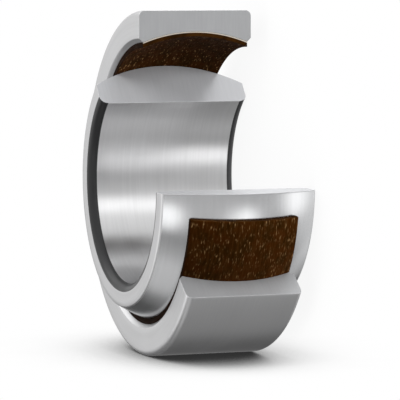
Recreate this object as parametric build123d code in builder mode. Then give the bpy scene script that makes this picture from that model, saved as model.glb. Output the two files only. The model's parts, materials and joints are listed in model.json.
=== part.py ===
from build123d import *
from math import sqrt
import os

# Spherical plain bearing, cut open to show its layers.
# The bore's axis is Z and the sphere's centre is the origin. The bearing stands on the inner ring's lower end.
# It is the 15 mm size of the common metric series: bore 15, outside 26, inner ring 12 wide, outer ring 9 wide.

# Sizes from the bore outwards, in millimetres. Together they give the 26 mm outside diameter.
bore_diameter = 15.0
inner_ring_wall = 3.5  # from the bore to the top of the sphere
running_clearance = 0.03  # radial gap between the inner ring's sphere and the liner
liner_thickness = 0.37
outer_ring_wall = 1.6  # the outer ring at its thinnest, over the middle of the sphere

# Widths along the axis
inner_ring_width = 12.0
outer_ring_width = 9.0

# Edges, all broken at 45 degrees
bore_chamfer = 0.6
side_chamfer = 0.12  # where the sphere meets the inner ring's flat sides
rim_chamfer = 0.3
mouth_chamfer = 0.3  # where the hollow sphere meets the outer ring's flat sides

# What was cut away, as angles about Z. Each sector runs clockwise from its first cut.
outer_first_cut = 0.0
outer_sector = 125.7
liner_sector = 100.8  # the liner is left standing past the outer ring's second cut
inner_first_cut = 38.3
inner_sector = 129.0

# Radii that follow from the sizes above
bore_radius = bore_diameter / 2
sphere_radius = bore_radius + inner_ring_wall
liner_radius = sphere_radius + running_clearance
hollow_radius = liner_radius + liner_thickness
rim_radius = hollow_radius + outer_ring_wall

# Half widths, and where each sphere ends
inner_half = inner_ring_width / 2
outer_half = outer_ring_width / 2
sphere_half = inner_half - side_chamfer
sphere_end_radius = sqrt(sphere_radius**2 - sphere_half**2)
side_radius = sphere_end_radius - side_chamfer
liner_half = outer_half - mouth_chamfer
mouth_radius = sqrt(hollow_radius**2 - liner_half**2)
liner_end_radius = sqrt(liner_radius**2 - liner_half**2)

outer_cut_plane = Plane.XZ.rotated((0, 0, outer_first_cut))
inner_cut_plane = Plane.XZ.rotated((0, 0, inner_first_cut))

# Outer ring: a cylinder outside and a hollow sphere inside
with BuildPart() as outer_ring:
    with BuildSketch(outer_cut_plane) as outer_profile:
        with BuildLine() as outer_outline:
            hollow = ThreePointArc((mouth_radius, -liner_half), (hollow_radius, 0), (mouth_radius, liner_half))
            Polyline(
                hollow @ 1,
                (mouth_radius + mouth_chamfer, outer_half),
                (rim_radius, outer_half),
                (rim_radius, -outer_half),
                (mouth_radius + mouth_chamfer, -outer_half),
                hollow @ 0,
            )
        make_face()
        chamfer(vertices().group_by(Axis.X)[-1], length=rim_chamfer)
    revolve(axis=Axis.Z, revolution_arc=360 - outer_sector)

# Sliding liner: a thin layer bonded in the hollow sphere, level with the chamfers of its mouth
with BuildPart() as sliding_liner:
    with BuildSketch(outer_cut_plane) as liner_profile:
        with BuildLine() as liner_outline:
            back = ThreePointArc((mouth_radius, -liner_half), (hollow_radius, 0), (mouth_radius, liner_half))
            face = ThreePointArc((liner_end_radius, -liner_half), (liner_radius, 0), (liner_end_radius, liner_half))
            Line(back @ 0, face @ 0)
            Line(back @ 1, face @ 1)
        make_face()
    revolve(axis=Axis.Z, revolution_arc=360 - liner_sector)

# Inner ring: the bore with its chamfers, flat sides and the polished sphere
with BuildPart() as inner_ring:
    with BuildSketch(inner_cut_plane) as inner_profile:
        with BuildLine() as inner_outline:
            sphere = ThreePointArc(
                (sphere_end_radius, -sphere_half), (sphere_radius, 0), (sphere_end_radius, sphere_half)
            )
            Polyline(
                sphere @ 1,
                (side_radius, inner_half),
                (bore_radius, inner_half),
                (bore_radius, -inner_half),
                (side_radius, -inner_half),
                sphere @ 0,
            )
        make_face()
        chamfer(vertices().group_by(Axis.X)[0], length=bore_chamfer)
    revolve(axis=Axis.Z, revolution_arc=360 - inner_sector)

outer_ring.part.label = "outer_ring"
sliding_liner.part.label = "sliding_liner"
inner_ring.part.label = "inner_ring"

os.makedirs("parts", exist_ok=True)
export_step(outer_ring.part, "parts/outer_ring.step")
export_step(sliding_liner.part, "parts/sliding_liner.step")
export_step(inner_ring.part, "parts/inner_ring.step")
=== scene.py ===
"""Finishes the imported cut-open spherical bearing: its rings and liner, their materials and a plain studio."""

import json
from math import asin, cos, degrees, pi, radians, sin

import bpy
from mathutils import Matrix, Vector


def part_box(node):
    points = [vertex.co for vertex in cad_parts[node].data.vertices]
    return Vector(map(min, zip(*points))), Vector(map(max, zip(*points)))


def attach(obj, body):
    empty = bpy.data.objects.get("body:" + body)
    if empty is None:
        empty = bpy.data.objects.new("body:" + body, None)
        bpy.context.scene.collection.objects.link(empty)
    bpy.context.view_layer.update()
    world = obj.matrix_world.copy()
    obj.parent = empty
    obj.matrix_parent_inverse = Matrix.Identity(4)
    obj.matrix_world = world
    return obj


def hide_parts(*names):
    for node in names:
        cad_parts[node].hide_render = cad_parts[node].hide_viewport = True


bl_info = {
    "name": "Cut-open Spherical Bearing",
    "version": (1, 0, 0),
    "blender": (4, 5, 0),
    "location": "View3D > Sidebar > Bearing",
    "description": "Rings and liner of a cut-open spherical plain bearing, with their finishes and a studio",
    "category": "Add Mesh",
}

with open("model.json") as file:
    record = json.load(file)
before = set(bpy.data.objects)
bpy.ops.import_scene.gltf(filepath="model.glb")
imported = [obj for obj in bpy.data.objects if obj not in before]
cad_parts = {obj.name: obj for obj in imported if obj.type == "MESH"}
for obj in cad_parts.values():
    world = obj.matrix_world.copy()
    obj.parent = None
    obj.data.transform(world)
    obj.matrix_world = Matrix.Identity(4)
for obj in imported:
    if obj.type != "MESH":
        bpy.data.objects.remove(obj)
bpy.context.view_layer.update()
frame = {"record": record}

MM = 0.001

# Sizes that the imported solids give
bore_mount = next(mount for mount in frame["record"]["mounts"] if mount["name"] == "bore")
BORE_RADIUS = bore_mount["dims"]["r_mm"] * MM
RIM_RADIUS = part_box("outer_ring")[1].x
OUTER_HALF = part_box("outer_ring")[1].z
INNER_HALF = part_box("inner_ring")[1].z
LINER_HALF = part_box("sliding_liner")[1].z


def length(name, description, default):
    """A size in metres, shown with its unit."""
    return bpy.props.FloatProperty(
        name=name, description=description, default=default, min=0.0, unit="LENGTH", precision=5
    )


def angle(name, description, turn):
    """An angle in degrees."""
    return bpy.props.FloatProperty(
        name=name, description=description, default=radians(turn), subtype="ANGLE"
    )


def share(name, description, default):
    """A plain number from 0 to 1."""
    return bpy.props.FloatProperty(
        name=name, description=description, default=default, min=0.0, max=1.0, subtype="FACTOR"
    )


def colour(name, description, default):
    """A surface colour, in linear light."""
    return bpy.props.FloatVectorProperty(
        name=name, description=description, default=default, size=3, min=0.0, max=1.0, subtype="COLOR"
    )


class BearingSizes(bpy.types.PropertyGroup):
    """Sizes of the rings and the liner."""

    bore_radius: length("Bore Radius", "Radius of the hole for the shaft", BORE_RADIUS)
    inner_half: length("Inner Ring Half Width", "From the middle to a side of the inner ring", INNER_HALF)
    ball_radius: length("Ball Radius", "Radius of the inner ring's ball-shaped outside", 11.0 * MM)
    bore_rounding: length("Bore Edge Rounding", "Radius at both ends of the bore", 0.62 * MM)
    ball_edge: length("Ball Edge", "Small rounding where the ball meets the inner ring's sides", 0.12 * MM)
    clearance: length("Running Clearance", "Gap between the ball and the liner", 0.03 * MM)
    liner_thickness: length("Liner Thickness", "Thickness of the woven sliding layer", 0.37 * MM)
    # Painted highlight: this width also sets the pale line on the liner's cut faces, which is adhesive and a
    # painted highlight of the outer ring's cut edge
    bond_and_highlight_thickness: length("Bond Thickness", "Thickness of the glue behind the sliding layer", 0.08 * MM)
    liner_half: length("Liner Half Width", "From the middle to an end of the liner", LINER_HALF)
    rim_radius: length("Rim Radius", "Outside radius of the outer ring", RIM_RADIUS)
    outer_half: length("Outer Ring Half Width", "From the middle to a side of the outer ring", OUTER_HALF)
    rim_rounding: length("Rim Edge Rounding", "Radius at both edges of the outer ring's rim", 0.45 * MM)
    edge_break: length("Cut Edge Break", "Width of the bright line along the cut edges", 0.03 * MM)
    outer_first: angle("Outer Ring First Cut", "Where the outer ring and the liner begin", 0.0)
    outer_last: angle("Outer Ring Second Cut", "Where the outer ring ends", 234.3)
    liner_last: angle("Liner Second Cut", "Where the liner ends, past the outer ring", 259.2)
    inner_first: angle("Inner Ring First Cut", "Where the inner ring begins", 38.3)
    inner_last: angle("Inner Ring Second Cut", "Where the inner ring ends", 269.3)
    steps: bpy.props.IntProperty(
        name="Steps", description="Steps of each ring round its axis", default=300, min=12, max=720
    )


class BearingFinish(bpy.types.PropertyGroup):
    """Colours and finishes.

    The steels' tones were first set from the same fit as the light, then scaled and changed.
    """

    bright_steel: colour("Bright Steel", "Ground bore", (0.62, 0.62, 0.625))
    ball_steel: colour("Ball Steel", "Polished ball", (0.53, 0.533, 0.54))
    satin_steel: colour("Satin Steel", "Flat sides of both rings", (0.535, 0.535, 0.54))
    rim_steel: colour("Rim Steel", "Ground rim of the outer ring", (0.56, 0.56, 0.565))
    # Painted light and shade: the cut faces of both rings are the same ground steel, coloured lighter on the
    # inner ring and darker on the outer ring for how the light falls on each
    inner_cut_painted_light: colour("Inner Cut Steel", "Ground cut faces of the inner ring", (0.46, 0.465, 0.48))
    outer_cut_painted_shade: colour("Outer Cut Steel", "Ground cut faces of the outer ring", (0.33, 0.333, 0.34))
    dark_steel: colour("Dark Steel", "Unground bore edges, dark from hardening", (0.03, 0.03, 0.031))
    resin_dark: colour("Dark Resin", "Sliding layer's resin, where it is deepest", (0.02, 0.007, 0.0005))
    resin_red: colour("Red Resin", "Sliding layer's resin, in its redder patches", (0.034, 0.0092, 0.0008))
    strand: colour("Strand", "Strands that show through the resin", (0.048, 0.0175, 0.003))
    fibre_end: colour("Fibre End", "Golden ends of cut fibres", (0.36, 0.215, 0.095))
    # Painted highlight: the pale line's colour is adhesive and a painted highlight of the outer ring's cut edge
    bond_and_highlight: colour("Bond", "Glue between the sliding layer and the outer ring", (0.5, 0.45, 0.38))


class BearingStage(bpy.types.PropertyGroup):
    """Camera, floor and backdrop.

    The camera's place and lens come from a perspective that was fitted to the photograph's edges.
    """

    azimuth: angle("Camera Azimuth", "Turn about the photograph's vertical, from square on", -20.3116)
    elevation: angle("Camera Elevation", "Height above the photograph's level", 4.3029)
    distance: length("Camera Distance", "From the middle of the ball", 224.7 * MM)
    shift_right: length("Camera Right", "How far the camera stands to its right", 0.3445 * MM)
    shift_down: length("Camera Down", "How far the camera stands lower", 1.3585 * MM)
    lens: bpy.props.FloatProperty(
        name="Lens", description="Focal length in millimetres on a 36 mm sensor", default=266.7
    )
    paper: colour("Paper", "Floor and backdrop", (1.0, 1.0, 1.0))
    sheet_reach: length("Sheet Reach", "From the bearing to the ends of the floor and backdrop", 400.0 * MM)
    contact_reach: length("Contact Reach", "How far the bearing's soft shadow on the paper goes", 25.0 * MM)
    floor_shadow: share("Floor Shadow", "How dark the soft shadow on the floor is", 0.08)
    backdrop_shadow: share("Backdrop Shadow", "How dark the soft shadow on the backdrop is", 0.97)


# Steps of the round stretches in the rings' outlines
EDGE_STEPS = 10
BALL_STEPS = 60
HOLLOW_STEPS = 40

# How much the distance from the axis counts beside the height, in the grain of a ring
OUTWARD_SHARE = 0.63

# Where nearly all of a soft noise lies
NOISE_LOW = 0.3
NOISE_HIGH = 0.7

# Heights of the grinding lines on steel and of the strands in the woven layer
GRAIN_DEPTH = 0.002 * MM
WEAVE_DEPTH = 0.02 * MM

# Roughness of each steel, in the darkest and the lightest clouds of its grain. A range that crosses
# 0.27 to 0.28 shows a hard line in a render with few samples, so each range lies on one side of it.
BORE_GLOSS = (0.285, 0.32)
EDGE_GLOSS = (0.3, 0.4)
SIDE_GLOSS = (0.4, 0.45)
BALL_GLOSS = (0.22, 0.26)
RIM_GLOSS = (0.3, 0.34)
CUT_GLOSS = (0.42, 0.46)

# Flecks of the woven layer: their size in millimetres round the axis and across it, and the levels
# of the noise where they start and where they are full
SLIDE_FLECKS = {"Fleck Length": 0.4, "Fleck Width": 0.12, "Fleck Start": 0.59, "Fleck Full": 0.85}
BACK_FLECKS = {"Fleck Length": 0.42, "Fleck Width": 0.095, "Fleck Start": 0.57, "Fleck Full": 0.96}
END_FLECKS = {"Fleck Start": 0.8}
SECTION_FLECKS = {"Fleck Length": 0.15, "Fleck Width": 0.15, "Fleck Start": 0.6}

# Painted shade on the liner's uncut ends, which lie in shade between the rings: how dark their colours are
# beside its surfaces
END_PAINTED_SHADE = 0.35

# How glossy resin is, far under a polished surface
RESIN_SPECULAR = 0.03


# Shader helpers


def feed(tree, socket, value):
    """Links a socket, or sets a plain number, vector or colour."""
    if isinstance(value, bpy.types.NodeSocket):
        tree.links.new(value, socket)
    elif socket.type == "RGBA":
        socket.default_value = (*value, 1.0)
    else:
        socket.default_value = value


def math_node(tree, operation, *values):
    """A Math node on sockets or plain numbers."""
    node = tree.nodes.new("ShaderNodeMath")
    node.operation = operation
    for socket, value in zip(node.inputs, values):
        feed(tree, socket, value)
    return node.outputs["Value"]


def vector_node(tree, x, y, z):
    """A Combine XYZ node on sockets or plain numbers."""
    node = tree.nodes.new("ShaderNodeCombineXYZ")
    for socket, value in zip(node.inputs, (x, y, z)):
        feed(tree, socket, value)
    return node.outputs["Vector"]


def fade(tree, value, start, end, low=0.0, high=1.0):
    """Takes a value smoothly from one range to another, and holds it at the ends."""
    node = tree.nodes.new("ShaderNodeMapRange")
    node.interpolation_type = "SMOOTHSTEP"
    feed(tree, node.inputs["Value"], value)
    for name, number in (("From Min", start), ("From Max", end), ("To Min", low), ("To Max", high)):
        feed(tree, node.inputs[name], number)
    return node.outputs["Result"]


def mix_colours(tree, factor, first, second):
    """Blends two colours, each a socket or a plain colour."""
    node = tree.nodes.new("ShaderNodeMix")
    node.data_type = "RGBA"
    feed(tree, node.inputs["Factor"], factor)
    ends = [socket for socket in node.inputs if socket.type == "RGBA"]
    for socket, value in zip(ends, (first, second)):
        feed(tree, socket, value)
    return next(socket for socket in node.outputs if socket.type == "RGBA")


def noise(tree, place, detail=2.0):
    """A Noise Texture at a place."""
    node = tree.nodes.new("ShaderNodeTexNoise")
    feed(tree, node.inputs["Vector"], place)
    feed(tree, node.inputs["Scale"], 1.0)
    feed(tree, node.inputs["Detail"], detail)
    return node.outputs["Fac"]


def distance_node(tree, first, second):
    """How far a place is, from how far it is in two directions at right angles."""
    squares = [math_node(tree, "MULTIPLY", value, value) for value in (first, second)]
    return math_node(tree, "SQRT", math_node(tree, "ADD", *squares))


def object_place(tree):
    """Object coordinates in millimetres, and the distance from the bore's axis."""
    coordinates = tree.nodes.new("ShaderNodeTexCoord")
    scaled = tree.nodes.new("ShaderNodeVectorMath")
    scaled.operation = "SCALE"
    feed(tree, scaled.inputs[0], coordinates.outputs["Object"])
    feed(tree, scaled.inputs["Scale"], 1 / MM)
    apart = tree.nodes.new("ShaderNodeSeparateXYZ")
    feed(tree, apart.inputs["Vector"], scaled.outputs["Vector"])
    x, y, z = apart.outputs
    return x, y, z, distance_node(tree, x, y)


def round_place(tree, around, across):
    """A place on a ring for a texture.

    around scales it round the axis, and across scales it along the axis and outwards. Height and
    distance from the axis count unequally, so that lines stay apart on flat sides and on the ball.
    """
    x, y, z, radius = object_place(tree)
    section = math_node(tree, "ADD", z, math_node(tree, "MULTIPLY", radius, OUTWARD_SHARE))
    return vector_node(
        tree,
        math_node(tree, "MULTIPLY", math_node(tree, "DIVIDE", x, radius), around),
        math_node(tree, "MULTIPLY", math_node(tree, "DIVIDE", y, radius), around),
        math_node(tree, "MULTIPLY", section, across),
    )


def shader_group(name, inputs, outputs):
    """A shader node group with number sockets: its tree, what it is given and what it puts out."""
    tree = bpy.data.node_groups.new(name, "ShaderNodeTree")
    for socket_name, default in inputs.items():
        socket = tree.interface.new_socket(socket_name, in_out="INPUT", socket_type="NodeSocketFloat")
        socket.default_value = default
    for socket_name in outputs:
        tree.interface.new_socket(socket_name, in_out="OUTPUT", socket_type="NodeSocketFloat")
    return tree, tree.nodes.new("NodeGroupInput").outputs, tree.nodes.new("NodeGroupOutput").inputs


def turned_grain():
    """Fine lines round the axis, as turning and grinding leave them, and soft clouds drawn out likewise."""
    name = "Turned Grain"
    if name not in bpy.data.node_groups:
        tree, given, result = shader_group(name, {"Lines per mm": 6.0, "Wander": 1.5}, ["Lines", "Clouds"])
        lines = round_place(tree, given["Wander"], given["Lines per mm"])
        feed(tree, result["Lines"], noise(tree, lines, 3.0))
        feed(tree, result["Clouds"], noise(tree, round_place(tree, 3.0, 0.5), 1.0))
    return bpy.data.node_groups[name]


def cut_grain():
    """Faint lines that run outwards across a cut face, and soft clouds."""
    name = "Cut Grain"
    if name not in bpy.data.node_groups:
        tree, given, result = shader_group(name, {"Lines per mm": 5.0, "Wander": 0.4}, ["Lines", "Clouds"])
        _x, _y, z, radius = object_place(tree)
        outwards = math_node(tree, "MULTIPLY", radius, given["Wander"])
        across = math_node(tree, "MULTIPLY", z, given["Lines per mm"])
        feed(tree, result["Lines"], noise(tree, vector_node(tree, outwards, 0.0, across), 3.0))
        slow = math_node(tree, "MULTIPLY", radius, 0.5), 0.0, math_node(tree, "MULTIPLY", z, 0.5)
        feed(tree, result["Clouds"], noise(tree, vector_node(tree, *slow), 1.0))
    return bpy.data.node_groups[name]


def woven_fibre():
    """Fibres in resin: strands round the axis, redder patches of resin, and bright flecks where fibres end.

    The flecks are the peaks of a noise that is drawn out round the axis.
    """
    name = "Woven Fibre"
    if name not in bpy.data.node_groups:
        inputs = {
            "Ring Radius": 11.4,
            "Strands per mm": 8.0,
            "Fleck Length": 0.6,
            "Fleck Width": 0.13,
            "Fleck Start": 0.66,
            "Fleck Full": 0.85,
        }
        tree, given, result = shader_group(name, inputs, ["Strands", "Resin", "Flecks"])
        around = given["Ring Radius"]
        strands = noise(tree, round_place(tree, around, given["Strands per mm"]), 2.0)
        feed(tree, result["Strands"], fade(tree, strands, 0.4, 0.7))
        resin = noise(tree, round_place(tree, around, 1.0), 2.0)
        feed(tree, result["Resin"], fade(tree, resin, 0.35, 0.65))
        fleck_around = math_node(tree, "DIVIDE", around, given["Fleck Length"])
        fleck_along = math_node(tree, "DIVIDE", 1.0, given["Fleck Width"])
        peaks = noise(tree, round_place(tree, fleck_around, fleck_along), 1.0)
        feed(tree, result["Flecks"], fade(tree, peaks, given["Fleck Start"], given["Fleck Full"]))
    return bpy.data.node_groups[name]


# Materials


def new_material(name):
    """A new material: itself, its node tree and its Principled shader's sockets."""
    material = bpy.data.materials.new(name)
    material.use_nodes = True
    return material, material.node_tree, material.node_tree.nodes["Principled BSDF"].inputs


def place_group(tree, group, values):
    """Puts a shared node group into a material with its own values."""
    node = tree.nodes.new("ShaderNodeGroup")
    node.node_tree = group
    for name, value in values.items():
        node.inputs[name].default_value = value
    return node.outputs


def add_bump(tree, shader, height, strength, depth):
    """Raises a surface by a height between 0 and 1."""
    bump = tree.nodes.new("ShaderNodeBump")
    feed(tree, bump.inputs["Height"], height)
    feed(tree, bump.inputs["Strength"], strength)
    feed(tree, bump.inputs["Distance"], depth)
    feed(tree, shader["Normal"], bump.outputs["Normal"])


def shaded(base, factor):
    """A colour made lighter or darker."""
    return tuple(channel * factor for channel in base)


def steel(
    name,
    base,
    grain,
    lines_per_mm,
    gloss,
    contrast=0.03,
    metallic=1.0,
    specular=0.5,
    brushed=0.0,
    raised=0.15,
):
    """Steel whose colour, gloss and surface follow its grain.

    gloss is the roughness in the darkest and the lightest clouds. A brushed surface
    draws its reflections out along the bore's axis, across its grinding lines.
    """
    material, tree, shader = new_material(name)
    marks = place_group(tree, grain, {"Lines per mm": lines_per_mm})
    tone = math_node(tree, "ADD", marks["Lines"], math_node(tree, "MULTIPLY", marks["Clouds"], 0.5))
    tone = fade(tree, tone, 0.5, 1.0)
    dark, light = shaded(base, 1 - contrast), shaded(base, 1 + contrast)
    feed(tree, shader["Base Color"], mix_colours(tree, tone, dark, light))
    feed(tree, shader["Roughness"], fade(tree, marks["Clouds"], NOISE_LOW, NOISE_HIGH, *gloss))
    feed(tree, shader["Metallic"], metallic)
    feed(tree, shader["Specular IOR Level"], specular)
    if brushed:
        feed(tree, shader["Anisotropic"], brushed)
        feed(tree, shader["Tangent"], vector_node(tree, 0.0, 0.0, 1.0))
    if raised:
        add_bump(tree, shader, marks["Lines"], raised, GRAIN_DEPTH)
    return material


def liner_surface(name, finish, flecks, tone=1.0):
    """The woven layer's uncut surfaces: strands and fibre ends in dark resin.

    A tone under 1 makes all of them darker; the liner's ends use it as painted shade.
    """
    material, tree, shader = new_material(name)
    marks = place_group(tree, woven_fibre(), flecks)
    dark, red = shaded(finish.resin_dark, tone), shaded(finish.resin_red, tone)
    resin = mix_colours(tree, marks["Resin"], dark, red)
    strand_share = 0.6
    strands = math_node(tree, "MULTIPLY", marks["Strands"], strand_share)
    base = mix_colours(tree, strands, resin, shaded(finish.strand, tone))
    base = mix_colours(tree, marks["Flecks"], base, shaded(finish.fibre_end, tone))
    feed(tree, shader["Base Color"], base)
    feed(tree, shader["Roughness"], fade(tree, marks["Strands"], 0.0, 1.0, 0.75, 0.6))
    feed(tree, shader["Specular IOR Level"], RESIN_SPECULAR)
    add_bump(tree, shader, math_node(tree, "ADD", marks["Strands"], marks["Flecks"]), 0.3, WEAVE_DEPTH)
    return material


def liner_section(name, finish, outside, bond_and_highlight, ring_end):
    """The liner's cut faces: brown fibres, with a pale line where the outer ring lies on it, which is adhesive
    and a painted highlight of the ring's cut edge.
    """
    material, tree, shader = new_material(name)
    marks = place_group(tree, woven_fibre(), SECTION_FLECKS)
    x, y, z, radius = object_place(tree)
    from_centre = distance_node(tree, z, radius)
    # A pale line along the outer face where the ring lies on it: adhesive and a painted highlight of the ring's
    # cut edge
    glue_and_highlight_start = (outside - bond_and_highlight) / MM
    blur = 0.02
    glue_and_highlight = fade(tree, from_centre, glue_and_highlight_start - blur, glue_and_highlight_start + blur)
    # Angles run from -180 to 180 degrees here, and the window without the outer ring lies below 0
    turn = math_node(tree, "ARCTAN2", y, x)
    within_window = radians(-30)
    before_window = math_node(tree, "LESS_THAN", turn, ring_end - 2 * pi)
    past_window = math_node(tree, "GREATER_THAN", turn, within_window)
    under_ring = math_node(tree, "MAXIMUM", before_window, past_window)
    glue_and_highlight = math_node(tree, "MULTIPLY", glue_and_highlight, under_ring)
    base = mix_colours(tree, marks["Resin"], shaded(finish.strand, 0.3), shaded(finish.strand, 0.7))
    fleck_share = 0.15
    flecks = math_node(tree, "MULTIPLY", marks["Flecks"], fleck_share)
    base = mix_colours(tree, flecks, base, finish.fibre_end)
    feed(tree, shader["Base Color"], mix_colours(tree, glue_and_highlight, base, finish.bond_and_highlight))
    feed(tree, shader["Roughness"], fade(tree, marks["Strands"], 0.0, 1.0, 0.8, 0.65))
    feed(tree, shader["Specular IOR Level"], RESIN_SPECULAR)
    add_bump(tree, shader, marks["Strands"], 0.3, WEAVE_DEPTH)
    return material


# Rings


def arc(centre, radius, start, end, steps):
    """Points of an arc in the half section, as (distance from the axis, height)."""
    turns = [start + (end - start) * step / steps for step in range(steps + 1)]
    return [(centre[0] + radius * cos(turn), centre[1] + radius * sin(turn)) for turn in turns]


def line(start, end, steps=4):
    """Points of a straight stretch of the half section."""
    parts = [step / steps for step in range(steps + 1)]
    return [(start[0] + (end[0] - start[0]) * t, start[1] + (end[1] - start[1]) * t) for t in parts]


def mirrored(stretches):
    """The same stretches below the middle plane, in the opposite order."""
    return [(finish, [(r, -z) for r, z in reversed(points)]) for finish, points in reversed(stretches)]


def profile_object(name, stretches, pitch):
    """The closed outline of a ring's section. Each vertex knows the finishes that meet there."""
    points = [point for _finish, stretch in stretches for point in stretch[:-1]]
    mesh = bpy.data.meshes.new(name)
    count = len(points)
    edges = [(i, (i + 1) % count) for i in range(count)]
    mesh.from_pydata([(r - pitch, -z, 0.0) for r, z in points], edges, [])
    first = 0
    for finish, stretch in stretches:
        marks = mesh.attributes.get(finish) or mesh.attributes.new(finish, "BOOLEAN", "POINT")
        for step in range(len(stretch)):
            marks.data[(first + step) % count].value = True
        first += len(stretch) - 1
    return bpy.data.objects.new(name, mesh)


def cut_ring_tree(name, finishes):
    """Geometry nodes that turn a section about the axis from cut to cut, and lay on its finishes."""
    tree = bpy.data.node_groups.new(name, "GeometryNodeTree")
    sockets = tree.interface
    sockets.new_socket("Profile", in_out="INPUT", socket_type="NodeSocketGeometry")
    for socket in ("Pitch Radius", "First Angle", "Sweep"):
        sockets.new_socket(socket, in_out="INPUT", socket_type="NodeSocketFloat")
    sockets.new_socket("Steps", in_out="INPUT", socket_type="NodeSocketInt")
    sockets.new_socket("Cut Face", in_out="INPUT", socket_type="NodeSocketMaterial")
    sockets.new_socket("Ring", in_out="OUTPUT", socket_type="NodeSocketGeometry")

    nodes, links = tree.nodes, tree.links
    start, end = nodes.new("NodeGroupInput"), nodes.new("NodeGroupOutput")
    section = nodes.new("GeometryNodeMeshToCurve")
    links.new(start.outputs["Profile"], section.inputs["Mesh"])
    path = nodes.new("GeometryNodeCurveArc")
    path.mode = "RADIUS"
    links.new(start.outputs["Steps"], path.inputs["Resolution"])
    links.new(start.outputs["Pitch Radius"], path.inputs["Radius"])
    links.new(start.outputs["First Angle"], path.inputs["Start Angle"])
    links.new(start.outputs["Sweep"], path.inputs["Sweep Angle"])
    upright = nodes.new("GeometryNodeSetCurveNormal")
    upright.mode = "Z_UP"
    links.new(path.outputs["Curve"], upright.inputs["Curve"])
    turned = nodes.new("GeometryNodeCurveToMesh")
    links.new(upright.outputs["Curve"], turned.inputs["Curve"])
    links.new(section.outputs["Curve"], turned.inputs["Profile Curve"])
    turned.inputs["Fill Caps"].default_value = True
    smooth = nodes.new("GeometryNodeSetShadeSmooth")
    links.new(turned.outputs["Mesh"], smooth.inputs["Geometry"])
    realized = nodes.new("GeometryNodeRealizeInstances")
    links.new(smooth.outputs["Geometry"], realized.inputs["Geometry"])
    cut = nodes.new("GeometryNodeSetMaterial")
    links.new(realized.outputs["Geometry"], cut.inputs["Geometry"])
    links.new(start.outputs["Cut Face"], cut.inputs["Material"])
    last = cut
    for finish, material in finishes.items():
        marks = nodes.new("GeometryNodeInputNamedAttribute")
        marks.data_type = "BOOLEAN"
        marks.inputs["Name"].default_value = finish
        coat = nodes.new("GeometryNodeSetMaterial")
        links.new(last.outputs["Geometry"], coat.inputs["Geometry"])
        links.new(marks.outputs["Attribute"], coat.inputs["Selection"])
        coat.inputs["Material"].default_value = material
        last = coat
    links.new(last.outputs["Geometry"], end.inputs["Ring"])
    return tree


def add_ring(name, stretches, cuts, steps, finishes, cut_face, edge_break):
    """A ring piece: its section turned from one cut to the other, with its cut edges broken."""
    first, last = cuts
    radii = [r for _finish, stretch in stretches for r, _z in stretch]
    pitch = (min(radii) + max(radii)) / 2
    builder = profile_object(name + "_section", stretches, pitch)
    bpy.context.scene.collection.objects.link(builder)
    modifier = builder.modifiers.new("Cut Ring", "NODES")
    modifier.node_group = cut_ring_tree(name + "_ring", finishes)
    values = {
        "Pitch Radius": pitch,
        "First Angle": first,
        "Sweep": last - first,
        "Steps": steps,
        "Cut Face": cut_face,
    }
    for socket in modifier.node_group.interface.items_tree:
        if socket.in_out == "INPUT" and socket.name in values:
            modifier[socket.identifier] = values[socket.name]
    bevel = builder.modifiers.new("Edge Break", "BEVEL")
    bevel.width = edge_break
    bevel.segments = 2
    bevel.limit_method = "ANGLE"
    bevel.angle_limit = radians(30)
    normals = builder.modifiers.new("Flat Faces", "WEIGHTED_NORMAL")
    normals.mode = "FACE_AREA"
    normals.weight = 50
    bpy.context.view_layer.update()
    depsgraph = bpy.context.evaluated_depsgraph_get()
    mesh = bpy.data.meshes.new_from_object(builder.evaluated_get(depsgraph), depsgraph=depsgraph)
    mesh.name = name
    bpy.data.objects.remove(builder)
    for finish in finishes:
        mesh.attributes.remove(mesh.attributes[finish])
    piece = bpy.data.objects.new(name, mesh)
    bpy.context.scene.collection.objects.link(piece)
    return piece


class BEARING_OT_inner_ring(bpy.types.Operator):
    """Adds the inner ring with its ball, bore and dark bore edges"""

    bl_idname = "bearing.inner_ring"
    bl_label = "Add Inner Ring"

    def execute(self, context):
        sizes = context.scene.bearing_sizes
        finish = context.scene.bearing_finish
        half, bore, ball = sizes.inner_half, sizes.bore_radius, sizes.ball_radius
        rounding, edge = sizes.bore_rounding, sizes.ball_edge
        ball_height = half - edge
        ball_angle = asin(ball_height / ball)
        ball_end = ball * cos(ball_angle)
        side_end = ball_end - edge
        bulge = 0.15
        corner = (side_end + edge * (0.5 + bulge), half - edge * (0.5 - bulge))
        upper = [
            ("bore_edge", arc((bore + rounding, half - rounding), rounding, pi, pi / 2, EDGE_STEPS)),
            ("side", line((bore + rounding, half), (side_end, half))),
            ("side", [(side_end, half), corner, (ball_end, ball_height)]),
        ]
        stretches = [
            ("bore", line((bore, -half + rounding), (bore, half - rounding), 12)),
            *upper,
            ("ball", arc((0.0, 0.0), ball, ball_angle, -ball_angle, BALL_STEPS)),
            *mirrored(upper),
        ]
        turned = turned_grain()
        finishes = {
            "bore": steel(
                "bore_steel", finish.bright_steel, turned, 6.0, BORE_GLOSS, brushed=0.6, raised=0.0
            ),
            "bore_edge": steel(
                "dark_edge", finish.dark_steel, turned, 5.0, EDGE_GLOSS, metallic=0.3, specular=0.2
            ),
            "side": steel("side_steel", finish.satin_steel, turned, 9.0, SIDE_GLOSS),
            "ball": steel(
                "ball_steel", finish.ball_steel, turned, 7.0, BALL_GLOSS, contrast=0.02, brushed=0.5
            ),
        }
        # Painted light: the inner ring's cut faces are coloured lighter than the outer ring's, though both are
        # the same steel
        cut = steel("inner_cut_steel", finish.inner_cut_painted_light, cut_grain(), 5.0, CUT_GLOSS, metallic=0.35)
        piece = add_ring(
            "inner_ring_finished",
            stretches,
            (sizes.inner_first, sizes.inner_last),
            sizes.steps,
            finishes,
            cut,
            sizes.edge_break,
        )
        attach(piece, "inner")
        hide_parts("inner_ring")
        return {"FINISHED"}


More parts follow.
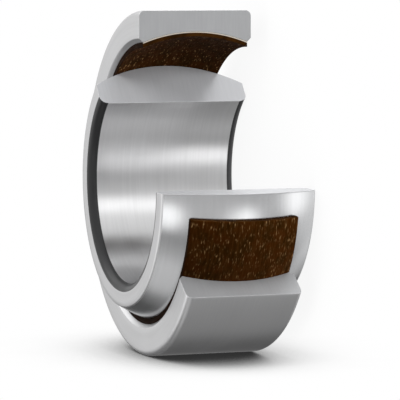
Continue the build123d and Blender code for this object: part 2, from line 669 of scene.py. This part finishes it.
class BEARING_OT_outer_ring(bpy.types.Operator):
    """Adds the outer ring with its hollow, mouth chamfers and rounded rim"""

    bl_idname = "bearing.outer_ring"
    bl_label = "Add Outer Ring"

    def execute(self, context):
        sizes = context.scene.bearing_sizes
        finish = context.scene.bearing_finish
        half, rim, rounding = sizes.outer_half, sizes.rim_radius, sizes.rim_rounding
        hollow = sizes.ball_radius + sizes.clearance + sizes.liner_thickness
        mouth_height = sizes.liner_half
        chamfer = half - mouth_height
        mouth_angle = asin(mouth_height / hollow)
        mouth = hollow * cos(mouth_angle)
        upper = [
            ("mouth", line((mouth, mouth_height), (mouth + chamfer, half), 2)),
            ("outer_side", line((mouth + chamfer, half), (rim - rounding, half))),
            ("rim_edge", arc((rim - rounding, half - rounding), rounding, pi / 2, 0.0, EDGE_STEPS)),
        ]
        stretches = [
            ("hollow", arc((0.0, 0.0), hollow, -mouth_angle, mouth_angle, HOLLOW_STEPS)),
            *upper,
            ("rim", line((rim, half - rounding), (rim, -half + rounding), 8)),
            *mirrored(upper),
        ]
        turned = turned_grain()
        satin = steel("outer_side_steel", finish.satin_steel, turned, 9.0, SIDE_GLOSS)
        rim_steel = steel("rim_steel", finish.rim_steel, turned, 9.0, RIM_GLOSS, contrast=0.02)
        finishes = {surface: satin for surface in ("hollow", "mouth", "outer_side", "rim_edge")}
        finishes["rim"] = rim_steel
        # Painted shade: the outer ring's cut faces are coloured darker than the inner ring's, though both are
        # the same steel
        cut = steel("outer_cut_steel", finish.outer_cut_painted_shade, cut_grain(), 5.0, CUT_GLOSS, metallic=0.42)
        piece = add_ring(
            "outer_ring_finished",
            stretches,
            (sizes.outer_first, sizes.outer_last),
            sizes.steps,
            finishes,
            cut,
            sizes.edge_break,
        )
        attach(piece, "outer")
        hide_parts("outer_ring")
        return {"FINISHED"}


class BEARING_OT_sliding_liner(bpy.types.Operator):
    """Adds the woven brown sliding layer"""

    bl_idname = "bearing.sliding_liner"
    bl_label = "Add Sliding Liner"

    def execute(self, context):
        sizes = context.scene.bearing_sizes
        finish = context.scene.bearing_finish
        half = sizes.liner_half
        inside = sizes.ball_radius + sizes.clearance
        outside = inside + sizes.liner_thickness
        inside_angle, outside_angle = asin(half / inside), asin(half / outside)
        slide_end, back_end = inside * cos(inside_angle), outside * cos(outside_angle)
        stretches = [
            ("slide", arc((0.0, 0.0), inside, -inside_angle, inside_angle, HOLLOW_STEPS)),
            ("end", line((slide_end, half), (back_end, half), 2)),
            ("back", arc((0.0, 0.0), outside, outside_angle, -outside_angle, HOLLOW_STEPS)),
            ("end", line((back_end, -half), (slide_end, -half), 2)),
        ]
        slide = liner_surface("liner_slide", finish, SLIDE_FLECKS)
        back = liner_surface("liner_back", finish, BACK_FLECKS)
        # Painted shade: the liner's ends are coloured darker and get fewer flecks, as they lie in shade between
        # the rings
        end = liner_surface("liner_end_painted_shade", finish, END_FLECKS, END_PAINTED_SHADE)
        section = liner_section("liner_section", finish, outside, sizes.bond_and_highlight_thickness, sizes.outer_last)
        finishes = {"slide": slide, "end": end, "back": back}
        piece = add_ring(
            "sliding_liner_finished",
            stretches,
            (sizes.outer_first, sizes.liner_last),
            sizes.steps,
            finishes,
            section,
            sizes.edge_break,
        )
        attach(piece, "outer")
        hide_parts("sliding_liner")
        return {"FINISHED"}


# Stage

# The light's numbers began as a least squares fit to the photograph, made by a scratch program: the
# studio round the axis and at its ends, the strengths of most panels, the lamps and the plain light.
# They were then cut to fewer and rounder values, scaled and adjusted. The plain light and the lamps at
# the left and at the high right are still about as fitted.

# Brightness that white stands for in the colour ramp that holds the sky
SKY_TOP = 3.0

# The studio round the bore's axis: angle in degrees and brightness. The camera looks from near 0,
# 90 is straight up in the photograph, and -90 is straight down.
SKY = (
    (-180, 1.15),
    (-158, 0.12),
    (-130, 0.12),
    (-115, 0.33),
    (-85, 0.37),
    (-60, 0.6),
    (-46, 0.35),
    (-24, 0.75),
    (12, 0.65),
    (25, 1.15),
    (40, 1.1),
    (60, 1.0),
    (85, 0.85),
    (105, 1.9),
    (135, 1.9),
    (158, 0.7),
    (180, 1.15),
)

# Soft panels that the steel mirrors: name, azimuth, elevation, core and reach in degrees, and strength
PANELS = (
    ("left strip", -43, -23, 4, 14, 1.6),
    ("low left glow", -88, -68, 6, 28, 0.5),
    ("right strip", 66, -8, 6, 16, 1.1),
    ("rim glow", 114, -30, 4, 18, 0.5),
    ("left window", -129, -20, 4, 24, 1.5),
    ("back window", 152, 42, 4, 19, 2.9),
    ("mouth glow", -146, 26, 4, 16, 1.5),
    ("high left window", 128, 64, 3, 14, 0.8),
    ("low band", 21, -26, 4, 14, 1.5),
    ("high band", 21, 27, 3, 12, 1.15),
)

# Brightness of the studio along the bore's axis, to the left and to the right in the photograph
SKY_ENDS = (1.4, 1.0)

# Plain light from all round on surfaces that don't mirror
MATT_LIGHT = 0.09

# Lamps: name, azimuth and elevation in degrees, distance and size in metres, and watts
LAMPS = (
    ("left", -70, 45, 0.3, 0.2, 0.58),
    ("front", 0, 15, 0.3, 0.2, 0.4),
    ("right", 60, 10, 0.3, 0.2, 1.0),
    ("high right", 60, 60, 0.3, 0.1, 0.31),
)


def studio_direction(azimuth, elevation):
    """Towards a place in the studio, from degrees.

    In the photograph the bore's axis is level, so up is +X here.
    """
    side, height = radians(azimuth), radians(elevation)
    return Vector((sin(height), -cos(side) * cos(height), -sin(side) * cos(height)))


def add_lamp(name, azimuth, elevation, distance, size, watts):
    """A round soft lamp that looks at the bearing.

    It lights matt surfaces. Steel doesn't mirror it, but the studio.
    """
    lamp = bpy.data.lights.new(name, "AREA")
    lamp.shape = "DISK"
    lamp.size = size
    lamp.energy = watts
    holder = bpy.data.objects.new(name, lamp)
    direction = studio_direction(azimuth, elevation)
    holder.location = direction * distance
    holder.rotation_mode = "QUATERNION"
    holder.rotation_quaternion = direction.to_track_quat("Z", "Y")
    holder.visible_glossy = False
    bpy.context.scene.collection.objects.link(holder)


def add_sheet(name, corners, material):
    """A flat stage sheet, which neither steel nor matt surfaces see."""
    mesh = bpy.data.meshes.new(name)
    mesh.from_pydata(corners, [], [(0, 1, 2, 3)])
    mesh.materials.append(material)
    sheet = bpy.data.objects.new(name, mesh)
    bpy.context.scene.collection.objects.link(sheet)
    sheet.visible_glossy = False
    sheet.visible_diffuse = False
    sheet.visible_shadow = False


def paper_material(name, paper, reach, shadow):
    """Paper as a clear sheet before the white studio, soft grey where the bearing is close to it.

    From behind it is all clear, so it never hides the bearing. Seen almost along its own plane
    it is all clear too, so it makes no grey line beside the bearing.
    """
    material = bpy.data.materials.new(name)
    material.use_nodes = True
    tree = material.node_tree
    tree.nodes.clear()
    output = tree.nodes.new("ShaderNodeOutputMaterial")
    nearby = tree.nodes.new("ShaderNodeAmbientOcclusion")
    nearby.samples = 16
    feed(tree, nearby.inputs["Distance"], reach)
    closed, open_air = 0.05, 0.85
    shade = fade(tree, nearby.outputs["AO"], closed, open_air, shadow, 0.0)
    slant = tree.nodes.new("ShaderNodeLayerWeight")
    feed(tree, slant.inputs["Blend"], 0.5)
    slanting, edge_on = 0.895, 0.93
    in_view = fade(tree, slant.outputs["Facing"], slanting, edge_on, 1.0, 0.0)
    shade = math_node(tree, "MULTIPLY", shade, in_view)
    front = tree.nodes.new("ShaderNodeBsdfTransparent")
    feed(tree, front.inputs["Color"], mix_colours(tree, shade, paper, (0.0, 0.0, 0.0)))
    behind = tree.nodes.new("ShaderNodeBsdfTransparent")
    geometry = tree.nodes.new("ShaderNodeNewGeometry")
    both = tree.nodes.new("ShaderNodeMixShader")
    feed(tree, both.inputs[0], geometry.outputs["Backfacing"])
    feed(tree, both.inputs[1], front.outputs["BSDF"])
    feed(tree, both.inputs[2], behind.outputs["BSDF"])
    feed(tree, output.inputs["Surface"], both.outputs["Shader"])
    return material


def studio_world(matt_light, sky, ends, panels):
    """White to the camera and through clear things, plain light on matt surfaces, a studio in steel.

    sky is that studio's brightness by the angle about the bore's axis, ends is its brightness
    along the axis to the left and to the right, and the panels are added to both.
    """
    world = bpy.data.worlds.new("studio")
    bpy.context.scene.world = world
    world.use_nodes = True
    tree = world.node_tree
    direction = tree.nodes.new("ShaderNodeTexCoord").outputs["Generated"]
    apart = tree.nodes.new("ShaderNodeSeparateXYZ")
    feed(tree, apart.inputs["Vector"], direction)
    x, y, z = apart.outputs
    turn = math_node(tree, "ARCTAN2", x, math_node(tree, "MULTIPLY", y, -1.0))
    ramp = tree.nodes.new("ShaderNodeValToRGB")
    feed(tree, ramp.inputs["Fac"], math_node(tree, "MULTIPLY_ADD", turn, 0.5 / pi, 0.5))
    stops = ramp.color_ramp.elements
    while len(stops) < len(sky):
        stops.new(0.5)
    for stop, (degree, strength) in zip(stops, sky):
        stop.position = 0.5 + degree / 360
        stop.color = (strength / SKY_TOP, strength / SKY_TOP, strength / SKY_TOP, 1.0)
    total = math_node(tree, "MULTIPLY", ramp.outputs["Color"], SKY_TOP)
    leave_sky, reach_end = 0.75, 0.95
    for sign, end in zip((1.0, -1.0), ends):
        near_end = fade(tree, math_node(tree, "MULTIPLY", z, sign), leave_sky, reach_end)
        gap = math_node(tree, "SUBTRACT", end, total)
        total = math_node(tree, "MULTIPLY_ADD", gap, near_end, total)
    for name, azimuth, elevation, core, reach, strength in panels:
        towards = tree.nodes.new("ShaderNodeVectorMath")
        towards.label = name
        towards.operation = "DOT_PRODUCT"
        feed(tree, towards.inputs[0], direction)
        feed(tree, towards.inputs[1], studio_direction(azimuth, elevation))
        edges = cos(radians(reach)), cos(radians(core))
        panel = fade(tree, towards.outputs["Value"], *edges, 0.0, strength)
        total = math_node(tree, "ADD", total, panel)
    total = math_node(tree, "MAXIMUM", total, 0.0)
    rays = tree.nodes.new("ShaderNodeLightPath")
    camera, through = rays.outputs["Is Camera Ray"], rays.outputs["Is Transmission Ray"]
    white = math_node(tree, "MAXIMUM", camera, through)
    plain = math_node(tree, "MAXIMUM", white, matt_light)
    mix = tree.nodes.new("ShaderNodeMix")
    feed(tree, mix.inputs["Factor"], rays.outputs["Is Glossy Ray"])
    feed(tree, mix.inputs["A"], plain)
    feed(tree, mix.inputs["B"], total)
    background = tree.nodes["Background"]
    feed(tree, background.inputs["Color"], (1.0, 1.0, 1.0))
    feed(tree, background.inputs["Strength"], mix.outputs["Result"])


class BEARING_OT_stage(bpy.types.Operator):
    """Adds the camera, the floor, the backdrop and the soft studio light"""

    bl_idname = "bearing.stage"
    bl_label = "Add Stage"

    def execute(self, context):
        stage = context.scene.bearing_stage
        sizes = context.scene.bearing_sizes
        self.add_camera(context, stage)
        floor = -sizes.inner_half
        wall = -sizes.rim_radius
        reach = stage.sheet_reach
        add_sheet(
            "floor",
            [(wall, -reach, floor), (reach, -reach, floor), (reach, reach, floor), (wall, reach, floor)],
            paper_material("floor_paper", stage.paper, stage.contact_reach, stage.floor_shadow),
        )
        add_sheet(
            "backdrop",
            [(wall, -reach, -reach), (wall, reach, -reach), (wall, reach, reach), (wall, -reach, reach)],
            paper_material("backdrop_paper", stage.paper, stage.contact_reach, stage.backdrop_shadow),
        )
        for lamp in LAMPS:
            add_lamp(*lamp)
        studio_world(MATT_LIGHT, SKY, SKY_ENDS, PANELS)
        context.scene.view_settings.view_transform = "Standard"
        return {"FINISHED"}

    def add_camera(self, context, stage):
        """The photograph's camera, whose up is close to +X here."""
        back = studio_direction(degrees(stage.azimuth), degrees(stage.elevation))
        right = Vector((1.0, 0.0, 0.0)).cross(back).normalized()
        up = back.cross(right)
        camera = bpy.data.cameras.new("camera")
        camera.lens = stage.lens
        camera.clip_start = 0.01
        camera.clip_end = 10.0
        holder = bpy.data.objects.new("camera", camera)
        place = back * stage.distance + right * stage.shift_right - up * stage.shift_down
        holder.matrix_world = Matrix.Translation(place) @ Matrix((right, up, back)).transposed().to_4x4()
        context.scene.collection.objects.link(holder)
        context.scene.camera = holder


class BEARING_PT_panel(bpy.types.Panel):
    """Lists the bearing's pieces and sizes in the sidebar"""

    bl_idname = "BEARING_PT_panel"
    bl_label = "Cut-open Bearing"
    bl_space_type = "VIEW_3D"
    bl_region_type = "UI"
    bl_category = "Bearing"

    def draw(self, context):
        layout = self.layout
        for settings in (
            context.scene.bearing_sizes,
            context.scene.bearing_finish,
            context.scene.bearing_stage,
        ):
            for name in settings.__annotations__:
                layout.prop(settings, name)
        for operator in OPERATORS:
            layout.operator(operator.bl_idname)


SETTINGS = {
    "bearing_sizes": BearingSizes,
    "bearing_finish": BearingFinish,
    "bearing_stage": BearingStage,
}
OPERATORS = (
    BEARING_OT_inner_ring,
    BEARING_OT_outer_ring,
    BEARING_OT_sliding_liner,
    BEARING_OT_stage,
)


def register():
    """Registers the settings, the operators and the panel."""
    for cls in (*SETTINGS.values(), *OPERATORS, BEARING_PT_panel):
        bpy.utils.register_class(cls)
    for name, cls in SETTINGS.items():
        setattr(bpy.types.Scene, name, bpy.props.PointerProperty(type=cls))


def unregister():
    """Removes what register added."""
    for name in SETTINGS:
        delattr(bpy.types.Scene, name)
    for cls in reversed((*SETTINGS.values(), *OPERATORS, BEARING_PT_panel)):
        bpy.utils.unregister_class(cls)


def main():
    """Builds the pieces and the stage."""
    register()
    bpy.ops.bearing.inner_ring()
    bpy.ops.bearing.outer_ring()
    bpy.ops.bearing.sliding_liner()
    bpy.ops.bearing.stage()


if __name__ == "__main__":
    main()
